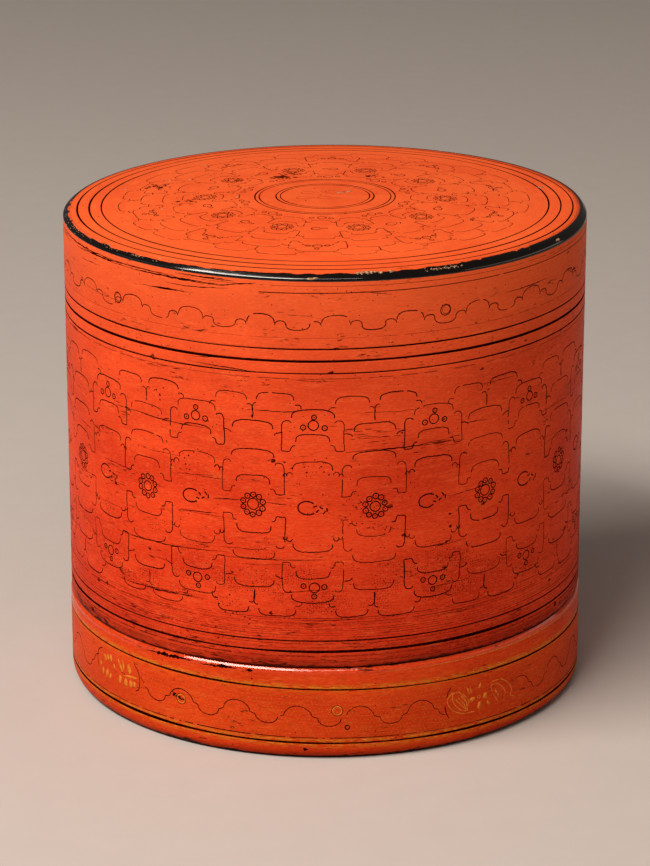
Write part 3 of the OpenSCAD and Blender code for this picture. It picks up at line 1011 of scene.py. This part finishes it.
def wearStrokes(rng):
    # each placed crack is drawn twice, so that it frays; the rest lie anywhere, nearly level
    out = [crack(a, b, rng) for a, b in wallWear["long"] for _ in range(2)]
    out += [crack(a, b, rng, 1.3) for a, b in wallWear["heavy"] for _ in range(2)]
    for _ in range(wallWear["cracks"]):
        u, v = anyArc(rng), rng.uniform(*wallWear["crackHeights"])
        length = rng.uniform(*wallWear["crackLengths"])
        out.append(crack((u, v), (u + length, v + rng.normal(0.4, 1.0)), rng))
    return out


def smudgeStrokes(rng):
    # each patch: short cracks strewn about its middle and drawn out along the turning
    back = [(rng.uniform(0.35, 1.65) * math.pi * lidR, rng.uniform(46, 196), rng.uniform(2, 12),
             rng.uniform(0.8, 3), rng.integers(5, 18)) for _ in range(wallWear["backSmudges"])]
    out = []
    for u, v, along, up, count in wallWear["smudges"] + back:
        for _ in range(count):
            x, z = rng.normal((u, v), (along / 2, up / 2))
            length = rng.uniform(0.15, 0.6) * along
            out.append(crack((x - length / 2, z), (x + length / 2, z), rng, 0.9))
    return out


def stippleSpots(rng):
    # fields of evenly pitched dots, each dot a little off its place and some of them missing
    count = wallWear["stippleFields"]
    fields = np.stack([anyArc(rng, count), rng.triangular(*wallWear["stippleHeights"], count)], 1)
    lattice = np.meshgrid(np.arange(wallWear["stippleColumns"]), np.arange(wallWear["stippleRows"]))
    lattice = np.stack(lattice, -1).reshape(-1, 2) * wallWear["stipplePitch"]
    spots = fields[:, None] + lattice + rng.normal(0, 0.2, (count, len(lattice), 2))
    spots = spots.reshape(-1, 2)
    return spots[rng.random(len(spots)) < wallWear["stippleKept"]]


rng = np.random.default_rng(wallWear["smudgeSeed"])
putPiece("lid_wall_smudges", ribbon(smudgeStrokes(rng), onLid), lidStain)
spots = np.concatenate([rng.normal((u, v), reach, (count, 2)) for u, v, reach, count in wallWear["sprays"]])
sizes = rng.uniform(0.15, 0.5, len(spots))
putPiece("lid_wall_sprays", dots(spots, sizes, onLid, stretch=(1.1, 0.9)), lidStain)
rng = np.random.default_rng(wallWear["seed"])
putPiece("lid_wall_cracks", ribbon(wearStrokes(rng), onLid), lidLine)
spots = stippleSpots(rng)
putPiece("lid_wall_stipple", dots(spots, rng.uniform(0.14, 0.28, len(spots)), onLid, 4), lidLine)
spots = wallWear["spots"] + strewn(rng, wallWear["stains"], wallWear["stainHeights"], wallWear["stainSizes"])
putPiece("lid_wall_stains", tornSpots(spots, rng, onLid, stretch=(1.2, 0.8), crest=0.03), lidStain)
print("wall worn")


# Chips of the rim: bare ground where the black coat has broken away

rimChips = {"seed": 67, "count": 10, "heights": (201.2, 203.2), "sizes": (0.3, 0.8),
            "placed": [(-5.6, 202.2, 1.5), (-3.8, 202.6, 0.9), (114.5, 203.0, 1.3)],     # arc, z and size
            # arcs, z, number of spots and largest size
            "scrapes": [(12, 27, 204.1, 34, 0.6), (40, 57, 203.5, 64, 0.3), (-170, -70, 203.4, 60, 0.3),
                        (-130, -62, 204.3, 34, 0.45)]}


def rimPlace(u, v, h):
    # on the planed edge of the rim, with the radius read off its section
    theta = u / lidR
    radii = rimSection[:, 0]
    flank = rimSection[radii > lidR - lidEdges["rim"][0]]
    r = np.interp(v, flank[:, 1], flank[:, 0])
    r = r + h + sway(theta, v) * (r - radii.min()) / np.ptp(radii)
    return np.stack([r * np.sin(theta), -r * np.cos(theta), v], -1)


rng = np.random.default_rng(rimChips["seed"])
spots = rimChips["placed"] + strewn(rng, rimChips["count"], rimChips["heights"], rimChips["sizes"])
for first, last, z, count, size in rimChips["scrapes"]:
    spots += [(rng.uniform(first, last), rng.normal(z, 0.25), rng.uniform(0.1, size)) for _ in range(count)]
chips = tornSpots(spots, rng, rimPlace, 10, 0.5, stretch=(1.7, 0.5), crest=0.05, keel=0.3)
putPiece("lid_rim_chips", chips, (barePigment, "lid", blackSlot))


# Engraving on the top: the same cells, drawn in towards the middle

topPattern = {
    "repeats": 10, "rosetteAngle": math.radians(-20.3), "ringR": 50.0, "outward": 0.76, "inward": 0.62,
    "half": 0.27, "skip": 0.03, "seed": 37, "circle": 0.92, "curl": 1.0, "mirrored": False, "dot": 0.22,
    "triplet": {1: 31.0, -1: 25.5},
    "clear": 30.5,             # radius that the cells keep out of
    "rings": [(103.0, 0.6), (98.0, 0.65), (93.0, 0.6), (29.2, 0.5), (27.4, 0.4), (20.4, 0.5), (18.6, 0.4)],
    "faded": ((-5, 5), (2, -3), (-7, -3), (5, 6)),      # x and y of the faint curls in the middle
    "fadedSize": 0.9, "fadedHalf": 0.2,
}


def topSurface(column, x, height):
    # column and x give the angle, height the radius: stretched outwards, squeezed inwards
    pitch = fullTurn * lidR / wallPattern["repeats"]
    turn = topPattern["rosetteAngle"] + (column + x / pitch) * fullTurn / topPattern["repeats"]
    radius = topPattern["ringR"] + np.where(height > 0, topPattern["outward"], topPattern["inward"]) * height
    return np.stack([radius * np.sin(turn), -radius * np.cos(turn)], 1)


def turnedCircle(radius, half):
    # a full circle about the axis, whose width swells with a sine
    t = np.linspace(0, fullTurn, 360, endpoint=False)
    swell = half * (1 + 0.2 * np.sin(t * 5 + radius))
    return np.stack([radius * np.sin(t), -radius * np.cos(t)], 1), swell, True


rng = np.random.default_rng(topPattern["seed"])
strokes, marks = patternStrokes(topSurface, topPattern, rng)
strokes = [s for s in strokes if np.hypot(s[0][:, 0], s[0][:, 1]).min() > topPattern["clear"]]
faded = [(path * topPattern["fadedSize"] + place, topPattern["fadedHalf"], False)
         for place in topPattern["faded"] for path in tendril(place[1] > 0)]
circles = [turnedCircle(*size) for size in topPattern["rings"]]
putPiece("lid_top_faded_marks", ribbon(faded, topPlace), lidStain)
putPiece("lid_top_rings", ribbon(circles, topPlace), lidLine)
putPiece("lid_top_engraving", ribbon(strokes, topPlace), topLine)
putPiece("lid_top_dots", dots(marks, topPattern["dot"], topPlace), topLine)

topWear = {"seed": 77, "stains": 24, "stainSpread": 60, "stainSize": 0.6, "edge": 100,
           # x, y, reach and number of spots of each spatter
           "spatters": [(-18.4, 34.6, 1.6, 46), (-14, 41, 2.4, 16), (-70, 26, 3.4, 14), (-57, -2, 2.4, 8),
                        (-36, 30, 2.2, 8), (60, -34, 1.2, 4), (20, 36, 2.0, 8)],
           # x, y and size of each bare speck
           "specks": [(-36.4, 0.8, 0.9), (-67, -13.9, 0.8), (-70.4, -45.6, 0.7), (-84, 24, 0.9),
                      (-51.8, 64.4, 0.9), (91, 24, 1.6), (40, -78, 0.6), (6.9, 5.8, 1.8),
                      (10, 7.4, 1.2), (-66, 36, 1.0), (-57, 36, 0.9)]}
rng = np.random.default_rng(topWear["seed"])
spots = [(*rng.normal((x, y), reach), rng.uniform(0.5, 1.5))
         for x, y, reach, count in topWear["spatters"] for _ in range(count)]
spread = topWear["stainSpread"]
spots += [(spread * rng.normal(), spread * rng.normal(), topWear["stainSize"])
          for _ in range(topWear["stains"])]
spots = [s for s in spots if math.hypot(s[0], s[1]) < topWear["edge"]]
putPiece("lid_top_stains", tornSpots(spots, rng, topPlace, stretch=(0.9, 1.0), crest=0.03), lidStain)
specks = tornSpots(topWear["specks"], rng, topPlace, 9, stretch=(1.2, 0.9))
putPiece("lid_top_specks", specks, (barePigment, "lid", engravedSlot))
print("top engraved:", len(strokes), "strokes")


# Plinth: wave line, gold and black turned lines, gold cartouches

plinthPattern = {"repeats": 27, "hump": 14.4, "half": 0.27, "skip": 0.012, "seed": 47,
                 "ledge": 18.7, "humpHalf": 5.7, "rise": 4.5, "dipHalf": 4.7, "fall": 3.2,
                 # z, width and chance of a gap of each turned line
                 "lines": [(bandHigh, 1.1, 0.0), (bandLow, 1.4, 0.0), (bandLow + 2.0, 0.5, 0.08)],
                 "circles": [(5.0, 21.6), (-62.0, 19.2)], "eyes": [(9.0, 14.3)],     # arc and z
                 # radius, steps and half width
                 "darkCircle": (2.3, 18, 0.18), "goldCircle": (1.85, 18, 0.3), "eye": (0.9, 12, 0.4),
                 "smear": (-63.4, 19.9, 1.5, 14),                                    # arc, z, reach and spots
                 # arc, z and size of each stain
                 "stains": [(30, 9.5, 0.5), (-30, 34.0, 0.5), (70, 33.0, 0.4), (-8, 4.6, 0.8)]}
panels = {"angles": [(36.2, 0), (-51.9, 1), (216.2, 0), (128.1, 1)],   # degrees from the front, kind
          "middle": (20.6, 21.6), "reach": (18.0, 14.5), "half": 0.3,
          "bands": [(bandHigh + 1.0, 0.4), (bandHigh + 1.7, 0.25), (bandLow + 1.0, 0.4),      # z, width
                    (bandLow - 1.0, 0.35)],
          "bandSkip": 0.3,
          # edge: a thin gold line along the shoulder's right edge, which is also a painted highlight along
          # that edge
          "edge": (37.4, 0.4, 24, 166)}       # z, width, and the arc where it starts and ends
goldDots = {"pitch": 1.6, "low": 11.2, "rows": 11, "radius": 0.2}
shoulderChips = {"z": 37.6, "runs": [(-80, -56), (-53, -36), (-33, -29)], "half": 1.05}


def dab(x, z, angle, length, fat):
    # one touch of a loaded brush: pointed, full, pointed; the angle is in degrees
    t = np.linspace(-0.5, 0.5, 7)
    turn = math.radians(angle)
    path = np.stack([x + length * t * math.cos(turn), z + length * t * math.sin(turn)], 1)
    return path, fat * np.cos(t * math.pi) ** 0.5 + 0.08, False


def curves(lists, half):
    # smooth strokes through lists of places
    return [(curve(places), half, False) for places in lists]


# a dab is x, z, angle, length and fatness; stretch goes over all lengths and fatnesses of a panel
flowerArt = {
    # a flower of brush dabs between two round leaves, each within an arc, and a dark bracket at the left
    "stretch": (1.0, 1.25),
    "dabs": [(-7.2, 3.1, 108, 3.4, 0.5), (-5.9, 3.1, 105, 3.2, 0.5), (-1.5, 4.2, 65, 2.6, 0.7),
             (1.4, -0.8, 60, 2.8, 1.3), (-5.3, -1.0, 12, 3.2, 1.1), (-1.5, -4.4, 72, 3.4, 1.4),
             (3.2, -4.4, 118, 2.6, 0.7), (7.3, -0.4, 110, 2.0, 0.6), (8.6, -2.2, 100, 1.2, 0.5)],
    "outlines": [
        [(-14.7, 4.0), (-17.1, 1.7), (-17.0, -0.8), (-14.6, -4.1), (-10.1, -6.2), (-4.1, -6.6)],
        [(-12.6, 3.9), (-14.7, 3.2), (-14.9, 0.6), (-13.2, -2.4), (-10.2, -4.9), (-7.7, -5.2), (-7.9, -2.6),
         (-9.4, 0.8), (-12.0, 3.8)],
        [(8.4, -5.1), (6.1, -1.6), (4.5, 2.7), (7.2, 2.9), (10.4, 1.2), (12.6, -2.2), (11.7, -5.6)],
        [(5.0, 4.6), (10.5, 4.1), (14.9, 0.9), (16.4, -2.0), (15.7, -4.2), (18.2, -5.6)]]
    + [[(-8.2, -4.8), (-10.4 + 1.1 * k, -2.6 + 0.4 * k), (-13.3 + 1.2 * k, 0.4 + 0.6 * k)] for k in range(4)],
    "hearts": [(-1.9, -0.6, 0.75)],
    "brackets": [[(-15.8, 6.2), (-17.0, 4.4), (-17.7, 2.2)], [(-18.5, -1.4), (-17.8, -4.6), (-16.6, -7.0)]],
    "knot": []}
sprayArt = {
    # two sprays of brush leaves, spread from a knot at the right, within dark round brackets
    "stretch": (1.2, 1.7),
    "dabs": [(2.0, 2.2, -58, 5.6, 0.65), (4.1, 3.0, -83, 4.0, 0.65), (8.1, 2.5, -78, 4.0, 1.35),
             (8.6, -0.7, 8, 7.6, 0.55), (1.8, -3.8, 75, 3.2, 1.0), (5.7, -4.0, 80, 2.9, 1.1),
             (9.1, -3.7, 80, 3.1, 1.2), (11.2, -3.2, 70, 2.1, 0.9), (-4.9, 3.5, 95, 2.8, 1.0),
             (-2.5, 0.3, 90, 2.0, 0.8), (-11.3, -4.0, 90, 2.8, 0.8), (-8.1, -4.1, 67, 3.8, 0.9),
             (-13.3, -1.4, 90, 1.8, 0.7), (-5.4, -4.8, 62, 2.3, 0.8), (-9.3, 2.2, 100, 2.7, 0.9),
             (-7.1, 3.0, 95, 2.4, 0.8)],
    "outlines": [], "hearts": [],
    "brackets": [[(-11.8, 5.9), (-15.0, 4.0), (-16.0, 0.4), (-15.2, -3.6)],
                 [(11.4, 5.9), (13.8, 3.0), (14.5, -1.4), (13.8, -4.6), (12.0, -5.8)]],
    "knot": [(3.4, -0.3, 20, 1.2, 0.35), (4.6, -0.6, -30, 1.0, 0.3)]}


def panelStrokes(art, half):
    # gold: dabs, outlines and the ring of a flower's heart; dark: brackets and a knot of dabs
    longer, fatter = art["stretch"]
    gold = [dab(x, z, angle, longer * length, fatter * fat) for x, z, angle, length, fat in art["dabs"]]
    gold += curves(art["outlines"], half)
    gold += [compass(*heart, 10, half * 0.8) for heart in art["hearts"]]
    return gold, curves(art["brackets"], half) + [dab(*touch) for touch in art["knot"]]


def inPanel(u, shrink=0.0):
    # whether an arc position lies within a panel's reach
    turn = fullTurn * plinthR
    within = []
    for angle, kind in panels["angles"]:
        apart = (u - math.radians(angle) * plinthR + turn / 2) % turn - turn / 2
        within.append(np.abs(apart) < panels["reach"][kind] - shrink)
    return np.any(within, axis=0)


def waveStrokes(c, rng):
    # each repeat: a round hump, a short ledge, a hanging arc and another ledge
    pitch = fullTurn * plinthR / c["repeats"]
    one = np.concatenate([arch(0, c["humpHalf"], c["ledge"] + 0.4 + c["rise"], c["rise"], 1.1),
                          arch(pitch / 2, c["dipHalf"], c["ledge"] - 0.4 - c["fall"], -c["fall"], 0.95)])
    path = np.concatenate([one + [c["hump"] + k * pitch, rng.normal(0, 0.25)] for k in range(c["repeats"])])
    path = wander(resample(path, 0.7), rng, 0.12, 19)
    lifted = inPanel(path[:, 0]) | (rng.random(len(path)) < c["skip"])
    parts = np.split(path, np.flatnonzero(lifted))
    return [(part[1:], c["half"] * rng.uniform(0.8, 1.2), False) for part in parts if len(part) > 3]


def goldDotPlaces():
    # rows round the plinth, every other one shifted by half a pitch, left out within the panels
    columns = int(fullTurn * plinthR / goldDots["pitch"])
    row, column = np.meshgrid(np.arange(goldDots["rows"]), np.arange(columns), indexing="ij")
    spots = np.stack([(column + 0.5 * (row % 2)) * fullTurn * plinthR / columns,
                      goldDots["low"] + row * goldDots["pitch"]], -1).reshape(-1, 2)
    return spots[~inPanel(spots[:, 0], 1.0)]


def chipStrokes(c, rng):
    # runs along the shoulder's edge, thick in the middle and ragged, that climb a little
    out = []
    for first, last in c["runs"]:
        u = np.arange(first, last, 0.7)
        half = c["half"] * np.sin(np.linspace(0.1, 3.0, len(u))) * rng.uniform(0.3, 1.5, len(u))
        path = np.stack([u, c["z"] + 0.02 * (u - first) + rng.normal(0, 0.15, len(u))], 1)
        out.append((path, half, False))
    return out


onPlinth = wallPlace(plinthR)
plinthGold = (goldPigment, "base", engravedSlot)
rng = np.random.default_rng(plinthPattern["seed"])
goldStrokes, darkStrokes, brushed = [], [], []
for angle, kind in panels["angles"]:
    gold, dark = panelStrokes(sprayArt if kind else flowerArt, panels["half"])
    place = np.array([math.radians(angle) * plinthR, panels["middle"][kind]])
    brushed += [(path + place, half, closed) for path, half, closed in gold]
    darkStrokes += [(path + place, half, closed) for path, half, closed in dark]
darkStrokes += waveStrokes(plinthPattern, rng)
for z, width, skip in plinthPattern["lines"]:
    darkStrokes += roundLine(plinthR, z, width, rng, skip)
for turn in (0, math.pi * plinthR):
    for u, z in plinthPattern["circles"]:
        darkStrokes.append(compass(u + turn, z, *plinthPattern["darkCircle"]))
        goldStrokes.append(compass(u + turn, z, *plinthPattern["goldCircle"]))
    for u, z in plinthPattern["eyes"]:
        darkStrokes.append(compass(u + turn, z, *plinthPattern["eye"]))
# gold line along the shoulder's right edge, swelling in the middle: gold paint, and in part a painted
# highlight
z, width, first, last = panels["edge"]
u = np.arange(first, last, 0.9)
swell = np.sin(np.linspace(0.2, 2.9, len(u)))
goldStrokes.append((np.stack([u, 0 * u + z], 1), width / 2 * swell, False))
for z, width in panels["bands"]:
    goldStrokes += roundLine(plinthR, z, width, rng, panels["bandSkip"])
putPiece("plinth_dark_lines", ribbon(darkStrokes, onPlinth), plinthLine)
putPiece("plinth_gold_lines", ribbon(goldStrokes, onPlinth), plinthGold)
putPiece("plinth_panel_gold", ribbon(brushed, onPlinth), (brushGold, "base", engravedSlot))
spots = goldDotPlaces()
spots += rng.normal(0, 0.12, spots.shape)
sizes = goldDots["radius"] * rng.uniform(0.6, 1.2, len(spots))
putPiece("plinth_gold_dots", dots(spots, sizes, onPlinth, 4), (faintGold, "base", engravedSlot))
u, z, reach, count = plinthPattern["smear"]
spots = plinthPattern["stains"] + [(*rng.normal((u, z), (reach, reach / 2)), rng.uniform(0.25, 0.9))
                                   for _ in range(count)]
stains = tornSpots(spots, rng, onPlinth, rough=0.5, stretch=(1.3, 0.8), crest=0.03)
putPiece("plinth_stains", stains, plinthLine)
putPiece("plinth_shoulder_chips", ribbon(chipStrokes(shoulderChips, rng), onPlinth), plinthLine)
print("plinth drawn")


# Floor, light and camera

stageSet = {"floor": "#c8c0bb", "floorGrain": "#c3bbb6", "floorSize": 8.0, "grainScale": 60.0,
            "world": "#f6e6dc", "worldStrength": 0.09}
# place and target, length and height, in metres; watts; colour
lamps = {"key": ((-1.1, -1.1, 1.95), (0, 0, 0.1), (2.0, 0.5), 74, "#fff6ea"),
         "strip": ((0.07, -1.69, 2.03), (0, 0, 0.2), (0.97, 0.14), 6.0, "#fff6ea"),
         "left": ((-1.35, -0.3, 0.85), (0, 0, 0.15), (1.4, 0.12), 0.7, "#dfe4ff"),
         "side": ((1.3, 0.0, 0.45), (0, 0, 0.1), (1.5, 0.34), 1.5, "#ffe6d4")}
viewSet = {"distance": 1.4012, "height": 0.5700, "pitch": 18.422, "focalPixels": 3471.08, "longSide": 866,
           "sensor": 36.0}


def stageFloor():
    # pale paper: nearly even, matt
    material, tree = newMaterial("pale_paper_floor")
    grain = fineNoise(tree, stageSet["grainScale"])
    colour = mixed(tree, grain, linear(stageSet["floor"]), linear(stageSet["floorGrain"]))
    side = stageSet["floorSize"] / 2
    mesh = bpy.data.meshes.new("floor")
    corners = [(-side, -side, 0), (side, -side, 0), (side, side, 0), (-side, side, 0)]
    mesh.from_pydata(corners, [], [(0, 1, 2, 3)])
    mesh.materials.append(finishMaterial(material, colour, 0.8, 0.5))
    addObject("floor", mesh)


def areaLamp(name, place, target, size, watts, colour):
    # a rectangle of light that faces its target, with its long side level
    lamp = bpy.data.lights.new(name, "AREA")
    lamp.shape = "RECTANGLE"
    lamp.size, lamp.size_y = size
    lamp.energy = watts
    lamp.color = linear(colour)[:3]
    holder = addObject(name, lamp)
    holder.location = place
    away = np.array(place) - np.array(target)
    flat = math.hypot(away[0], away[1])
    holder.rotation_euler = (math.atan2(flat, away[2]), 0, math.atan2(away[0], -away[1]))


stageFloor()
for name, lampSet in lamps.items():
    areaLamp(name, *lampSet)
world = bpy.data.worlds.new("studio")
bpy.context.scene.world = world
world.use_nodes = True
background = world.node_tree.nodes["Background"]
background.inputs["Color"].default_value = linear(stageSet["world"])
background.inputs["Strength"].default_value = stageSet["worldStrength"]

camera = bpy.data.cameras.new("camera")
camera.sensor_width = viewSet["sensor"]
camera.lens = viewSet["focalPixels"] / viewSet["longSide"] * viewSet["sensor"]
viewer = addObject("camera", camera)
viewer.location = (0, -viewSet["distance"], viewSet["height"])
viewer.rotation_euler = (math.radians(90 - viewSet["pitch"]), 0, 0)
bpy.context.scene.camera = viewer
bpy.context.scene.view_settings.view_transform = "Standard"
print("stage set")
